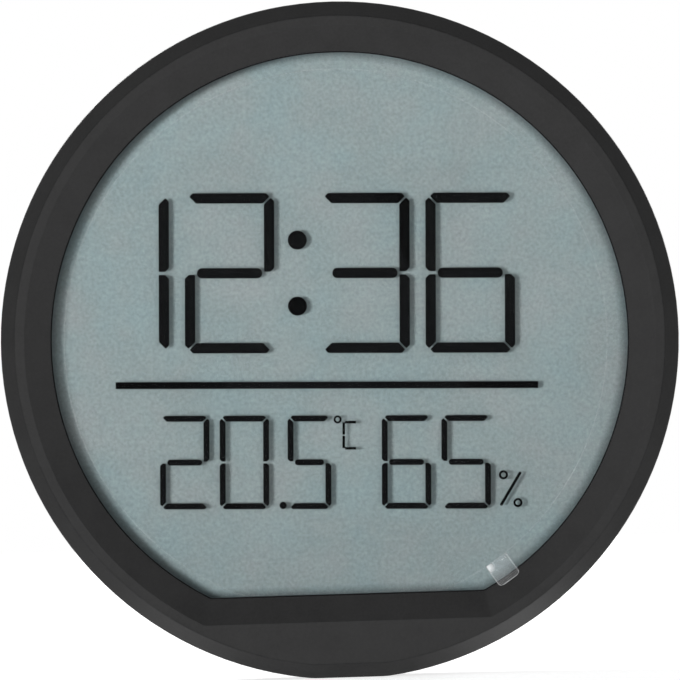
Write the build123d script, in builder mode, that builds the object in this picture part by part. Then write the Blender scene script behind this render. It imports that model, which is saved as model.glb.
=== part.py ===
from build123d import *
import os
from math import atan2, cos, degrees, hypot, radians, sin, sqrt

# Round thermometer hygrometer clock with a large reflective display.
#
# X is to the right seen from the front, Z is up and the clock faces -Y. The origin is the
# centre of the flat back face, which lies against a wall. A height here is a distance
# forward from that face, and a level is a place along Z above the clock's axis.

os.makedirs("parts", exist_ok=True)

# Display pattern: the time row
time_height = 30.70
time_width = 17.17
time_stroke = 1.97
time_digit_gap = 3.03
time_colon_space = 8.79
time_colon_offset = 4.42
time_shift = -0.52
time_corner_cut = 1.55
time_post_cut = 0.75
time_middle_gap = 0.58
time_pill_gap = 0.36
time_mitre_gap = 0.30
time_tip_round = 0.22
colon_dot_radius = 1.82
colon_dot_rise = 6.33

# Display pattern: the divider line
divider_level = -8.58
divider_left = 43.01
divider_right = 38.03
divider_stroke = 1.31
divider_to_time = 5.50
divider_to_small = 5.16

# Display pattern: the row of temperature and humidity
small_height = 17.93
small_width = 9.48
small_narrow_width = 8.37
small_stroke = 1.13
small_digit_gap = 1.96
small_point_space = 3.55
small_point_offset = 2.66
small_point_radius = 0.70
small_row_left = 34.53
small_corner_cut = 0.95
small_post_cut = 0.45
small_middle_gap = 0.36
small_pill_gap = 0.27
small_mitre_gap = 0.24
small_tip_round = 0.12
degree_ring_radius = 0.77
degree_ring_bore = 0.40
degree_offset = 1.23
celsius_offset = 2.15
celsius_width = 2.61
celsius_height = 5.52
celsius_stroke = 0.50
celsius_split = 0.21
celsius_inset = 0.30
humidity_space = 9.69
percent_offset = 1.52
percent_ring_radius = 0.88
percent_ring_bore = 0.45
percent_rise = 5.33
percent_run = 2.76
percent_slash_width = 0.56
percent_slash_rise = 6.46
percent_slash_run = 3.85

# Front frame
pattern_margin = 8.16
slope_width = 5.0
slope_drop = 1.3
crest_width = 1.85
rim_chamfer = 2.7
skirt_height = 17.5
skirt_wall = 2.0
lip_edge = 0.5
chin_height = 16.15
window_corner = 1.5
rim_round = 0.5
crest_round = 0.3
rim_flat_width = 14.0
rim_flat_blend = 10.0

# Display stack
display_turn = 1.585
gasket_thickness = 0.3
gasket_setback = 0.5
gasket_show = 0.25
polariser_thickness = 0.2
polariser_setback = 0.4
glass_thickness = 1.1
cell_gap = 0.1
reflector_thickness = 0.25
glass_overlap = 1.55
rear_glass_lap = 2.55
contact_ledge = 3.2
seal_width = 1.2

# Protective film
film_thickness = 0.08
film_setback = 3.35
film_flat_gap = 0.45
film_left_shift = 0.8
tab_width = 4.8
tab_length = 4.6
tab_root_lap = 0.8
tab_angle = 55.6
tab_rise = 16.5
tab_corner = 0.9

# Display carrier
carrier_plate = 2.0
pocket_clearance = 0.4
pocket_wall = 1.2
ring_gap = 0.3
ear_radius = 1.9
ear_wall_gap = 0.2
case_boss_radius = 2.6
case_boss_length = 7.15
case_boss_setback = 8.6
board_pilot_depth = 1.6
slot_clearance = 0.2

# Screws: small ones for carrier and board, larger ones for the case
screw_count = 4
screw_angle = 45.0
small_screw_radius = 0.8
small_screw_head_radius = 1.5
small_screw_head_height = 1.0
carrier_screw_bite = 2.2
case_screw_radius = 1.0
case_screw_head_radius = 2.3
case_screw_head_height = 1.5
case_screw_bite = 5.0
thread_clearance = 0.02
screw_clearance = 0.15
screw_tip_gap = 0.3
screw_head_round = 0.35
drive_width = 0.4
drive_reach = 0.9
drive_depth = 0.5

# Board and what is on it
zebra_width = 2.0
zebra_length = 30.0
zebra_edge_gap = 0.4
board_thickness = 1.2
board_setback = 0.6
board_edge = 1.2
board_top_level = 2.5
board_boss_clearance = 0.4
board_screw_shares = [(-0.79, -0.10), (0.79, -0.10), (-0.46, -0.77), (0.46, -0.77)]
blob_radius = 6.0
blob_height = 1.6
blob_edge = 0.2
blob_level = -27.0
crystal_radius = 1.0
crystal_length = 6.0
crystal_offset = 13.0
capacitor_radius = 2.5
capacitor_length = 5.5
capacitor_offset = 15.0
capacitor_round = 0.5
resistor_length = 2.0
resistor_width = 1.25
resistor_height = 0.5
resistor_pitch = 3.0
resistor_count = 6
resistor_drop = 11.0
bead_radius = 1.2
bead_leg_radius = 0.25
bead_leg_length = 6.0
bead_leg_pitch = 1.6
bead_level = -14.0
humidity_length = 10.0
humidity_width = 7.0
humidity_height = 2.2
humidity_level = -24.0
humidity_slot = 0.8
humidity_slot_depth = 0.6
humidity_slot_count = 5

# Rear case
tub_gap = 0.3
tub_wall = 2.0
tub_overlap = 4.0
tub_edge_round = 2.5
back_wall = 2.0
well_floor = 1.6
well_wall = 1.4
well_clearance = 0.6
keyhole_radius = 4.5
keyhole_slot_radius = 2.3
keyhole_travel = 7.0
keyhole_room = 1.5
keyhole_depth = 4.0
hood_wall = 1.2
hood_gap = 0.8
vent_width = 1.2
vent_length = 10.0
vent_pitch = 3.0
vent_count = 4
vent_margin = 18.7
vent_level = -18.0

# Buttons and their switches
button_names = ["set", "up", "down", "unit"]
button_pitch = 16.0
button_level = -1.8
button_radius = 3.6
button_hole_gap = 0.3
button_recess = 0.3
button_edge_round = 0.5
button_travel = 0.5
flange_width = 1.1
flange_thickness = 0.8
flange_gap = 0.1
stem_radius = 1.6
dish_margin = 2.0
dish_depth = 1.0
button_pad_margin = 1.0
button_pad_height = 1.0
switch_width = 6.0
switch_height = 3.5
plunger_radius = 1.7
plunger_gap = 0.08
plunger_reach = 1.25
plunger_depth = 1.6
plunger_room = 0.3

# Batteries and their tray
battery_radius = 5.25
battery_length = 44.5
battery_nub_radius = 1.9
battery_nub_length = 1.0
battery_edge_round = 0.4
battery_clearance = 0.6
contact_room = 3.75
tray_wall = 1.4
tray_gap = 0.2
tray_front_room = 2.15
contact_sheet = 0.4
contact_width = 8.0
contact_length = 8.5
dimple_radius = 2.2
dimple_height = 0.8
spring_wire = 0.3
spring_radius = 3.0
spring_turns = 4
spring_cone = -8.0
spring_seat_gap = 0.1
lug_width = 3.0
lug_reach = 1.2
lead_radius = 0.6
lead_landing = 3.0

# Battery door
door_thickness = 1.8
door_lap = 1.1
door_seat_gap = 0.1
tab_block_width = 6.0
tab_block_thickness = 0.9
tab_block_reach = 1.5
tab_block_root = 1.6
tab_block_gap = 0.2
tab_notch_gap = 0.4
latch_width = 10.0
latch_slit = 0.8
latch_length = 6.0
latch_scoop_width = 14.0
latch_scoop_depth = 1.2
latch_scoop_height = 3.0
groove_width = 0.6
groove_depth = 0.4
groove_count = 3

# Fold-out stand
stand_width = 36.0
stand_row_gap = 0.73
stand_pivot_height = 2.4
stand_end_margin = 5.2
stand_thickness = 2.6
stand_recess = 0.6
stand_corner = 9.0
stand_panel_rim = 4.0
stand_panel_depth = 0.7
stand_open = 40.0
barrel_radius = 2.0
pin_radius = 1.0
pin_running_gap = 0.05
pin_fit_gap = 0.01
pin_bite = 1.3
heel_thickness = 1.6
heel_width = 24.0
heel_gap = 0.15
stand_gap = 0.5
stand_floor = 4.8
stand_pocket_wall = 1.6
finger_reach = 7.0
finger_height = 11.0
finger_rise = 17.5
finger_round = 3.0
foot_width = 16.0
foot_length = 1.2
foot_thickness = 1.6
foot_proud = 0.4

# One overrun serves all cuts, and one angle every square corner
overrun = 1.0
square_angle = 90.0

# The window goes round the pattern, and the case goes round the window
small_top = divider_level - divider_stroke / 2 - divider_to_small
small_bottom = small_top - small_height
window_radius = hypot(small_row_left, small_bottom) + pattern_margin
crest_inner = window_radius + slope_width
case_radius = crest_inner + crest_width + rim_chamfer
window_flat = case_radius - chin_height
rim_flat = sqrt(case_radius**2 - (rim_flat_width / 2) ** 2)

# Heights from the wall towards the front: the battery tray sets where the carrier lies,
# and the display's layers on the carrier set the depth of the case
door_back = door_thickness + door_seat_gap
tray_front = door_back + 2 * battery_radius + 2 * battery_clearance
carrier_back = tray_front + tray_wall + tray_front_room
board_back = carrier_back - board_thickness
reflector_back = carrier_back + carrier_plate
rear_glass_back = reflector_back + reflector_thickness
cell_back = rear_glass_back + glass_thickness
front_glass_back = cell_back + cell_gap
polariser_back = front_glass_back + glass_thickness
gasket_back = polariser_back + polariser_thickness
lip_back = gasket_back + gasket_thickness
slope_foot = lip_back + lip_edge
case_depth = slope_foot + slope_drop
skirt_back = case_depth - skirt_height

# Outlines of the display, seen from the front
glass_radius = window_radius + glass_overlap
rear_glass_flat = window_flat + rear_glass_lap
front_glass_flat = rear_glass_flat + contact_ledge
half_ledge = sqrt(glass_radius**2 - front_glass_flat**2)
pocket_radius = glass_radius + pocket_clearance
pocket_flat = front_glass_flat + half_ledge * sin(radians(display_turn)) + pocket_clearance
carrier_radius = pocket_radius + pocket_wall
skirt_inner = case_radius - skirt_wall
ear_ring = skirt_inner - ear_wall_gap - ear_radius
zebra_level = -front_glass_flat + zebra_edge_gap + zebra_width / 2
board_radius = carrier_radius - board_setback
board_flat = -zebra_level + zebra_width / 2 + board_edge
board_screw_places = [
    (across * board_radius, up * board_radius) for across, up in board_screw_shares
]
case_boss_ring = carrier_radius - case_boss_setback

# Rear case
tub_radius = skirt_inner - tub_gap
tub_front = skirt_back + tub_overlap
boss_back = carrier_back - case_boss_length
well_back = boss_back - well_floor
well_radius = case_screw_head_radius + well_clearance
vent_offset = tub_radius - vent_margin

# The row of buttons, the battery tray above it and the keyhole above that
button_hole = button_radius + button_hole_gap
flange_radius = button_radius + flange_width
dish_radius = button_radius + dish_margin
button_pad_radius = dish_radius + button_pad_margin
button_middle = (len(button_names) - 1) / 2
button_places = [(place - button_middle) * button_pitch for place in range(len(button_names))]
plunger_end = board_back - switch_height - plunger_reach
tray_level = button_level + button_pad_radius + tray_gap + tray_wall
tray_length = battery_length + 2 * contact_room
tray_height = 4 * battery_radius + 3 * battery_clearance
tray_middle = tray_level + tray_height / 2
tray_top = tray_level + tray_height
keyhole_hood = keyhole_radius + keyhole_room
keyhole_level = tray_top + tray_wall + hood_gap + hood_wall + keyhole_hood

# The heel of the stand meets the recess's floor when the stand is fully open, and the
# stand's recess ends below the flanges of the buttons
heel_room = stand_floor - stand_pivot_height - heel_gap
heel_length = (heel_room - heel_thickness / 2 * cos(radians(stand_open))) / sin(radians(stand_open))
recess_top = button_level - flange_radius - stand_row_gap - stand_pocket_wall
stand_pivot_level = recess_top - stand_gap - hypot(heel_length, heel_thickness / 2)
stand_end = stand_end_margin - tub_radius
stand_length = stand_pivot_level - stand_end
finger_level = stand_end + finger_rise


def front_plane(height):
    """The upright plane at this height above the wall, seen from the front."""
    return Plane.XZ.offset(height)


def display_plane(height):
    """The same plane, turned clockwise with the display."""
    turn = radians(display_turn)
    return Plane(origin=(0, -height, 0), x_dir=(cos(turn), 0, -sin(turn)), z_dir=(0, -1, 0))


def flat_disc(radius, flat, mode=Mode.ADD):
    """A disc with a straight edge below, in the current sketch."""
    with BuildSketch(mode=Mode.PRIVATE) as outline:
        Circle(radius)
        with Locations((0, -flat)):
            Rectangle(2 * radius, radius, align=(Align.CENTER, Align.MAX), mode=Mode.SUBTRACT)
    add(outline.sketch, mode=mode)


def save(part, name):
    """Labels a finished piece and writes it to its own file."""
    part.label = name
    export_step(part, f"parts/{name}.step")


def ear_places():
    """The carrier's four ears."""
    return PolarLocations(ear_ring, screw_count, start_angle=screw_angle)


def board_places():
    """The board's four fixing holes."""
    return Locations(*board_screw_places)


def case_places():
    """The rear case's four fixing holes."""
    return PolarLocations(case_boss_ring, screw_count, start_angle=screw_angle)


def key_places():
    """The four buttons in their row."""
    return Locations(*[(place, button_level) for place in button_places])


# Front frame: the outside, the hollow behind it and the sloped window
with BuildPart() as window_cut:
    with BuildSketch(front_plane(slope_foot)):
        flat_disc(window_radius, window_flat)
        fillet(vertices().sort_by(Axis.Y)[:2], radius=window_corner)
    with BuildSketch(front_plane(case_depth)):
        flat_disc(crest_inner, window_flat + slope_width)
        fillet(vertices().sort_by(Axis.Y)[:2], radius=window_corner)
    loft(ruled=True)
    with BuildSketch(front_plane(slope_foot)):
        flat_disc(window_radius, window_flat)
        fillet(vertices().sort_by(Axis.Y)[:2], radius=window_corner)
    extrude(amount=-(lip_edge + overrun))

with BuildPart() as front_frame:
    # The disc has a small flat below that lets the clock stand on its rim
    with BuildSketch(front_plane(skirt_back)):
        flat_disc(case_radius, rim_flat)
        fillet(vertices().sort_by(Axis.Y)[:2], radius=rim_flat_blend)
    extrude(amount=skirt_height)
    chamfer(front_frame.faces().sort_by(Axis.Y)[0].edges(), length=rim_chamfer)
    # The chamfer's front ring of edges is the first group and its rear ring the third
    edge_rings = front_frame.edges().group_by(Axis.Y)
    fillet(edge_rings[0] + edge_rings[2], radius=rim_round)
    with BuildSketch(front_plane(skirt_back)):
        Circle(skirt_inner)
    extrude(amount=lip_back - skirt_back, mode=Mode.SUBTRACT)
    add(window_cut.part, mode=Mode.SUBTRACT)
    crest = front_frame.faces().filter_by(Axis.Y).sort_by(Axis.Y)[0]
    fillet(crest.inner_wires().edges(), radius=crest_round)
    with BuildSketch(front_plane(reflector_back)):
        with ear_places():
            Circle(ear_radius)
    extrude(amount=lip_back - reflector_back)
    with BuildSketch(front_plane(reflector_back)):
        with ear_places():
            Circle(small_screw_radius + thread_clearance)
    extrude(amount=carrier_screw_bite, mode=Mode.SUBTRACT)
save(front_frame.part, "front_frame")

# Foam ring between the lip and the display
with BuildPart() as lip_gasket:
    with BuildSketch(front_plane(gasket_back)):
        flat_disc(glass_radius - gasket_setback, rear_glass_flat)
        # The foam shows as a thin black line all round the window
        flat_disc(window_radius - gasket_show, window_flat - gasket_show, mode=Mode.SUBTRACT)
    extrude(amount=gasket_thickness)
save(lip_gasket.part, "lip_gasket")

# Protective film: the disc on the polariser and the pull tab that laps over the lip
film_radius = window_radius - film_setback
film_flat = window_flat - film_flat_gap
tab_plane = Plane(
    origin=(-film_left_shift, -gasket_back, 0),
    x_dir=(cos(radians(tab_angle)), 0, -sin(radians(tab_angle))),
    z_dir=(-sin(radians(tab_angle)), 0, -cos(radians(tab_angle))),
)
with BuildPart() as screen_film:
    with BuildSketch(front_plane(gasket_back)):
        with Locations((-film_left_shift, 0)):
            Circle(film_radius)
        with Locations((0, -film_flat)):
            Rectangle(
                2 * case_radius, case_radius, align=(Align.CENTER, Align.MAX), mode=Mode.SUBTRACT
            )
    extrude(amount=film_thickness)
    tab_root = film_radius - tab_root_lap
    with BuildSketch(tab_plane):
        with BuildLine():
            low = Line((tab_root, 0), (film_radius, 0))
            slope = PolarLine(low @ 1, tab_root_lap + tab_length, tab_rise)
            lifted = PolarLine(slope @ 1, film_thickness, tab_rise + square_angle)
            above = Line(lifted @ 1, (film_radius, film_thickness))
            Polyline(above @ 1, (tab_root, film_thickness), low @ 0)
        make_face()
    extrude(amount=tab_width / 2, both=True)
    along_tab = Axis(tab_plane.origin, tab_plane.x_dir)
    short_edges = screen_film.edges().filter_by(lambda edge: edge.length < tab_corner)
    fillet(short_edges.sort_by(along_tab)[-2:], radius=tab_corner)
save(screen_film.part, "screen_film")

# Front polariser and front glass
with BuildPart() as front_polariser:
    with BuildSketch(display_plane(polariser_back)):
        flat_disc(glass_radius - polariser_setback, rear_glass_flat)
    extrude(amount=polariser_thickness)
save(front_polariser.part, "front_polariser")

with BuildPart() as front_glass:
    with BuildSketch(display_plane(front_glass_back)):
        flat_disc(glass_radius, front_glass_flat)
    extrude(amount=glass_thickness)
save(front_glass.part, "front_glass")


def bar_points(width, height, stroke, corner_cut, mitre_gap, side):
    """Outline of a digit's top bar (side 1) or bottom bar (side -1), in the digit's cell."""
    lean = mitre_gap / sqrt(2)
    tip_in, tip_down = (corner_cut + lean) / 2, (corner_cut - lean) / 2
    right = [
        (width / 2 - stroke - lean, side * (height / 2 - stroke)),
        (width / 2 - tip_in, side * (height / 2 - tip_down)),
        (width / 2 - corner_cut, side * height / 2),
    ]
    return right + [(-across, up) for across, up in reversed(right)]


def post_points(width, height, stroke, corner_cut, post_cut, middle_gap, mitre_gap, across, side):
    """Outline of one of a digit's four posts: across is 1 at the right, side is 1 above."""
    lean = mitre_gap / sqrt(2)
    tip_in, tip_down = (corner_cut - lean) / 2, (corner_cut + lean) / 2
    foot = middle_gap / 2
    outline = [
        (width / 2, height / 2 - corner_cut),
        (width / 2 - tip_in, height / 2 - tip_down),
        (width / 2 - stroke, height / 2 - stroke - lean),
        (width / 2 - stroke, foot),
        (width / 2 - post_cut, foot),
        (width / 2, foot + post_cut),
    ]
    return [(across * right, side * up) for right, up in outline]


lit_parts = {
    "1": "bc",
    "2": "abged",
    "3": "abgcd",
    "5": "afgcd",
    "6": "afgcde",
    "0": "abcdef",
}
post_sides = {"b": (1, 1), "c": (1, -1), "e": (-1, -1), "f": (-1, 1)}


def draw_digit(digit, centre, width, height, stroke, corner_cut, post_cut, gaps, tip_round):
    """Draws a digit's lit cells in the current sketch. The gaps are middle, pill and mitre."""
    middle_gap, pill_gap, mitre_gap = gaps
    outlines = []
    for part in lit_parts[digit]:
        if part == "a":
            outlines.append(bar_points(width, height, stroke, corner_cut, mitre_gap, 1))
        elif part == "d":
            outlines.append(bar_points(width, height, stroke, corner_cut, mitre_gap, -1))
        elif part in post_sides:
            across, side = post_sides[part]
            outlines.append(
                post_points(
                    width, height, stroke, corner_cut, post_cut, middle_gap, mitre_gap, across, side
                )
            )
    with BuildSketch(mode=Mode.PRIVATE) as cells:
        for outline in outlines:
            with BuildLine():
                Polyline(*outline, close=True)
            make_face()
        fillet(cells.vertices(), radius=tip_round)
        if "g" in lit_parts[digit]:
            SlotOverall(width - 2 * stroke - 2 * pill_gap, stroke)
    with Locations(centre):
        add(cells.sketch)


time_bottom = divider_level + divider_stroke / 2 + divider_to_time
time_middle = time_bottom + time_height / 2
time_row_width = time_stroke + 3 * time_width + 2 * time_digit_gap + time_colon_space
time_left = time_shift - time_row_width / 2
time_gaps = (time_middle_gap, time_pill_gap, time_mitre_gap)
hour_ones = time_left + time_stroke + time_digit_gap + time_width / 2
minute_tens = hour_ones + time_width + time_colon_space
minute_ones = minute_tens + time_width + time_digit_gap
time_row = [
    ("1", time_left + time_stroke - time_width / 2),
    ("2", hour_ones),
    ("3", minute_tens),
    ("6", minute_ones),
]
colon_middle = hour_ones + time_width / 2 + time_colon_offset

small_middle = (small_top + small_bottom) / 2
small_gaps = (small_middle_gap, small_pill_gap, small_mitre_gap)
tens_left = -small_row_left
ones_left = tens_left + small_width + small_digit_gap
tenths_left = ones_left + small_width + small_point_space
humidity_tens_left = tenths_left + small_narrow_width + humidity_space
humidity_ones_left = humidity_tens_left + small_width + small_digit_gap
small_row = [
    ("2", tens_left, small_width),
    ("0", ones_left, small_width),
    ("5", tenths_left, small_narrow_width),
    ("6", humidity_tens_left, small_width),
    ("5", humidity_ones_left, small_width),
]
point_middle = ones_left + small_width + small_point_offset
degree_middle = tenths_left + small_narrow_width + degree_offset
celsius_left = tenths_left + small_narrow_width + celsius_offset
percent_left = humidity_ones_left + small_width + percent_offset

# The dark cells of the liquid crystal layer
with BuildPart() as lcd_segments:
    with BuildSketch(display_plane(cell_back)):
        for digit, middle in time_row:
            draw_digit(
                digit,
                (middle, time_middle),
                time_width,
                time_height,
                time_stroke,
                time_corner_cut,
                time_post_cut,
                time_gaps,
                time_tip_round,
            )
        with Locations((colon_middle, time_middle)):
            with GridLocations(0, 2 * colon_dot_rise, 1, 2):
                Circle(colon_dot_radius)
        with Locations(((divider_right - divider_left) / 2, divider_level)):
            Rectangle(divider_left + divider_right, divider_stroke)
        for digit, left, width in small_row:
            draw_digit(
                digit,
                (left + width / 2, small_middle),
                width,
                small_height,
                small_stroke,
                small_corner_cut,
                small_post_cut,
                small_gaps,
                small_tip_round,
            )
        with Locations((point_middle, small_bottom + small_point_radius)):
            Circle(small_point_radius)
        # The degree sign and the letter C, whose post is in two halves
        with Locations((degree_middle, small_top - degree_ring_radius)):
            Circle(degree_ring_radius)
            Circle(degree_ring_bore, mode=Mode.SUBTRACT)
        bar_length = celsius_width - celsius_stroke
        bar_middle = celsius_left + celsius_stroke + bar_length / 2
        bar_rise = (celsius_height - celsius_stroke) / 2
        post_length = (celsius_height - celsius_split) / 2 - celsius_inset
        post_middle = celsius_left + celsius_stroke / 2
        post_rise = (post_length + celsius_split) / 2
        celsius_middle = small_top - 2 * degree_ring_radius + (celsius_stroke - celsius_height / 2)
        for side in (1, -1):
            with Locations((bar_middle, celsius_middle + side * bar_rise)):
                Rectangle(bar_length, celsius_stroke)
            with Locations((post_middle, celsius_middle + side * post_rise)):
                Rectangle(celsius_stroke, post_length)
        # The percent sign: two rings and a slash
        percent_middle = small_bottom + percent_slash_rise / 2 + percent_slash_width
        percent_centre = percent_left + percent_ring_radius + percent_run / 2
        with Locations(
            (percent_centre - percent_run / 2, percent_middle + percent_rise / 2),
            (percent_centre + percent_run / 2, percent_middle - percent_rise / 2),
        ):
            Circle(percent_ring_radius)
            Circle(percent_ring_bore, mode=Mode.SUBTRACT)
        slash_length = hypot(percent_slash_rise, percent_slash_run)
        slash_angle = degrees(atan2(percent_slash_rise, percent_slash_run))
        with Locations((percent_centre, percent_middle)):
            SlotOverall(slash_length, percent_slash_width, rotation=slash_angle)
    extrude(amount=cell_gap)
save(lcd_segments.part, "lcd_segments")

# Seal frame between the glasses, rear glass and reflector
with BuildPart() as cell_seal:
    with BuildSketch(display_plane(cell_back)):
        flat_disc(glass_radius, rear_glass_flat)
        flat_disc(glass_radius - seal_width, rear_glass_flat - seal_width, mode=Mode.SUBTRACT)
    extrude(amount=cell_gap)
save(cell_seal.part, "cell_seal")

with BuildPart() as rear_glass:
    with BuildSketch(display_plane(rear_glass_back)):
        flat_disc(glass_radius, rear_glass_flat)
    extrude(amount=glass_thickness)
save(rear_glass.part, "rear_glass")

with BuildPart() as reflector:
    with BuildSketch(display_plane(reflector_back)):
        flat_disc(glass_radius - polariser_setback, rear_glass_flat - polariser_setback)
    extrude(amount=reflector_thickness)
save(reflector.part, "reflector")

# Elastomer strip from the contact ledge of the front glass to the board
with BuildPart() as zebra_strip:
    with BuildSketch(front_plane(carrier_back)):
        with Locations((0, zebra_level)):
            Rectangle(zebra_length, zebra_width)
    extrude(amount=front_glass_back - carrier_back)
save(zebra_strip.part, "zebra_strip")

# Display carrier: plate, ring round the display, ears and the bosses of the rear case
with BuildPart() as display_carrier:
    with BuildSketch(front_plane(carrier_back)):
        Circle(carrier_radius)
        with ear_places():
            Circle(ear_radius)
            Rectangle(2 * ear_radius, 2 * ear_radius, align=(Align.MAX, Align.CENTER))
    extrude(amount=carrier_plate)
    with BuildSketch(front_plane(reflector_back)):
        Circle(carrier_radius)
        flat_disc(pocket_radius, pocket_flat, mode=Mode.SUBTRACT)
    extrude(amount=lip_back - ring_gap - reflector_back)
    with BuildSketch(front_plane(boss_back)):
        with case_places():
            Circle(case_boss_radius)
    extrude(amount=case_boss_length)
    with BuildSketch(front_plane(boss_back)):
        with case_places():
            Circle(case_screw_radius + thread_clearance)
    extrude(amount=case_screw_bite + screw_tip_gap, mode=Mode.SUBTRACT)
    with BuildSketch(front_plane(carrier_back)):
        with ear_places():
            Circle(small_screw_radius + screw_clearance)
        with Locations((0, zebra_level)):
            Rectangle(zebra_length + 2 * slot_clearance, zebra_width + 2 * slot_clearance)
    extrude(amount=carrier_plate, mode=Mode.SUBTRACT)
    with BuildSketch(front_plane(carrier_back)):
        with board_places():
            Circle(small_screw_radius + thread_clearance)
    extrude(amount=board_pilot_depth, mode=Mode.SUBTRACT)
save(display_carrier.part, "display_carrier")


def make_screws(places, seat, head_radius, head_height, shank_radius, shank_length):
    """Pan-head screws whose heads bear on the seat and whose shanks run to the front."""
    with BuildPart() as screws:
        with BuildSketch(front_plane(seat - head_height)):
            with places():
                Circle(head_radius)
        extrude(amount=head_height)
        head_faces = screws.faces().filter_by(Axis.Y).group_by(Axis.Y)[-1]
        fillet(head_faces.edges(), radius=screw_head_round)
        with BuildSketch(front_plane(seat)):
            with places():
                Circle(shank_radius)
        extrude(amount=shank_length)
        with BuildSketch(front_plane(seat - head_height)):
            with places():
                Rectangle(drive_width, 2 * drive_reach)
                Rectangle(2 * drive_reach, drive_width)
        extrude(amount=drive_depth, mode=Mode.SUBTRACT)
    return screws.part


small_screw = (small_screw_head_radius, small_screw_head_height, small_screw_radius)
carrier_shank = carrier_plate + carrier_screw_bite - screw_tip_gap
board_shank = board_thickness + board_pilot_depth - screw_tip_gap
case_shank = well_floor + case_screw_bite
case_screw = (case_screw_head_radius, case_screw_head_height, case_screw_radius)
save(make_screws(ear_places, carrier_back, *small_screw, carrier_shank), "carrier_screws")
save(make_screws(board_places, board_back, *small_screw, board_shank), "board_screws")
save(make_screws(case_places, well_back, *case_screw, case_shank), "case_screws")

# Circuit board
with BuildPart() as main_board:
    with BuildSketch(front_plane(board_back)):
        flat_disc(board_radius, board_flat)
        with Locations((0, board_top_level)):
            Rectangle(
                2 * case_radius, case_radius, align=(Align.CENTER, Align.MIN), mode=Mode.SUBTRACT
            )
        with case_places():
            Circle(case_boss_radius + board_boss_clearance, mode=Mode.SUBTRACT)
        with board_places():
            Circle(small_screw_radius + screw_clearance, mode=Mode.SUBTRACT)
    extrude(amount=board_thickness)
save(main_board.part, "main_board")

# Parts on the back of the board: chip under resin, crystal, capacitor and resistors
with BuildPart() as chip_blob:
    with BuildSketch(front_plane(board_back)):
        with Locations((0, blob_level)):
            Circle(blob_radius)
    extrude(amount=-blob_height)
    fillet(chip_blob.faces().sort_by(Axis.Y)[-1].edges(), radius=blob_height - blob_edge)
save(chip_blob.part, "chip_blob")

with BuildPart() as quartz_crystal:
    with BuildSketch(Plane.YZ.offset(crystal_offset)):
        with Locations((crystal_radius - board_back, blob_level)):
            Circle(crystal_radius)
    extrude(amount=crystal_length)
save(quartz_crystal.part, "quartz_crystal")

with BuildPart() as capacitor:
    with BuildSketch(front_plane(board_back)):
        with Locations((-capacitor_offset, blob_level)):
            Circle(capacitor_radius)
    extrude(amount=-capacitor_length)
    fillet(capacitor.faces().sort_by(Axis.Y)[-1].edges(), radius=capacitor_round)
save(capacitor.part, "capacitor")

with BuildPart() as chip_resistors:
    with BuildSketch(front_plane(board_back)):
        with Locations((0, blob_level - resistor_drop)):
            with GridLocations(resistor_pitch, 0, resistor_count, 1):
                Rectangle(resistor_width, resistor_length)
    extrude(amount=-resistor_height)
save(chip_resistors.part, "chip_resistors")

# Sensors beside the vents: a thermistor bead on two legs and a slotted humidity sensor
with BuildPart() as temperature_sensor:
    with BuildSketch(front_plane(board_back)):
        with Locations((-vent_offset, bead_level)):
            with GridLocations(bead_leg_pitch, 0, 2, 1):
                Circle(bead_leg_radius)
    extrude(amount=-bead_leg_length)
    with Locations((-vent_offset, bead_leg_length - board_back, bead_level)):
        Sphere(bead_radius)
save(temperature_sensor.part, "temperature_sensor")

with BuildPart() as humidity_sensor:
    with BuildSketch(front_plane(board_back)):
        with Locations((-vent_offset, humidity_level)):
            Rectangle(humidity_length, humidity_width)
    extrude(amount=-humidity_height)
    with BuildSketch(front_plane(board_back - humidity_height)):
        with Locations((-vent_offset, humidity_level)):
            with GridLocations(2 * humidity_slot, 0, humidity_slot_count, 1):
                Rectangle(humidity_slot, humidity_width / 2)
    extrude(amount=humidity_slot_depth, mode=Mode.SUBTRACT)
save(humidity_sensor.part, "humidity_sensor")

# Tact switches on the board, their plungers and the caps that press them
with BuildPart() as switch_bodies:
    with BuildSketch(front_plane(board_back)):
        with key_places():
            Rectangle(switch_width, switch_width)
    extrude(amount=-switch_height)
    with BuildSketch(front_plane(board_back - switch_height)):
        with key_places():
            Circle(plunger_radius + plunger_gap)
    extrude(amount=plunger_depth + button_travel + plunger_room, mode=Mode.SUBTRACT)
save(switch_bodies.part, "switch_bodies")

flange_back = back_wall + button_pad_height + flange_gap
for name, place in zip(button_names, button_places):
    with BuildPart() as switch_plunger:
        with BuildSketch(front_plane(plunger_end)):
            with Locations((place, button_level)):
                Circle(plunger_radius)
        extrude(amount=plunger_reach + plunger_depth)
    save(switch_plunger.part, f"switch_plunger_{name}")

    with BuildPart() as button:
        with BuildSketch(front_plane(button_recess)):
            with Locations((place, button_level)):
                Circle(button_radius)
        extrude(amount=flange_back - button_recess)
        fillet(button.faces().sort_by(Axis.Y)[-1].edges(), radius=button_edge_round)
        with BuildSketch(front_plane(flange_back)):
            with Locations((place, button_level)):
                Circle(flange_radius)
        extrude(amount=flange_thickness)
        with BuildSketch(front_plane(flange_back + flange_thickness)):
            with Locations((place, button_level)):
                Circle(stem_radius)
        extrude(amount=plunger_end - flange_back - flange_thickness)
    save(button.part, f"button_{name}")


def leg_outline(grow, top):
    """The stand's outline, grown all round, from its top level to its free end."""
    reach = top - stand_end + 2 * grow
    with BuildSketch(mode=Mode.PRIVATE) as outline:
        with Locations((0, top + grow)):
            Rectangle(stand_width + 2 * grow, reach, align=(Align.CENTER, Align.MAX))
        fillet(outline.vertices().sort_by(Axis.Y)[:2], radius=stand_corner + grow)
    add(outline.sketch)


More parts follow.
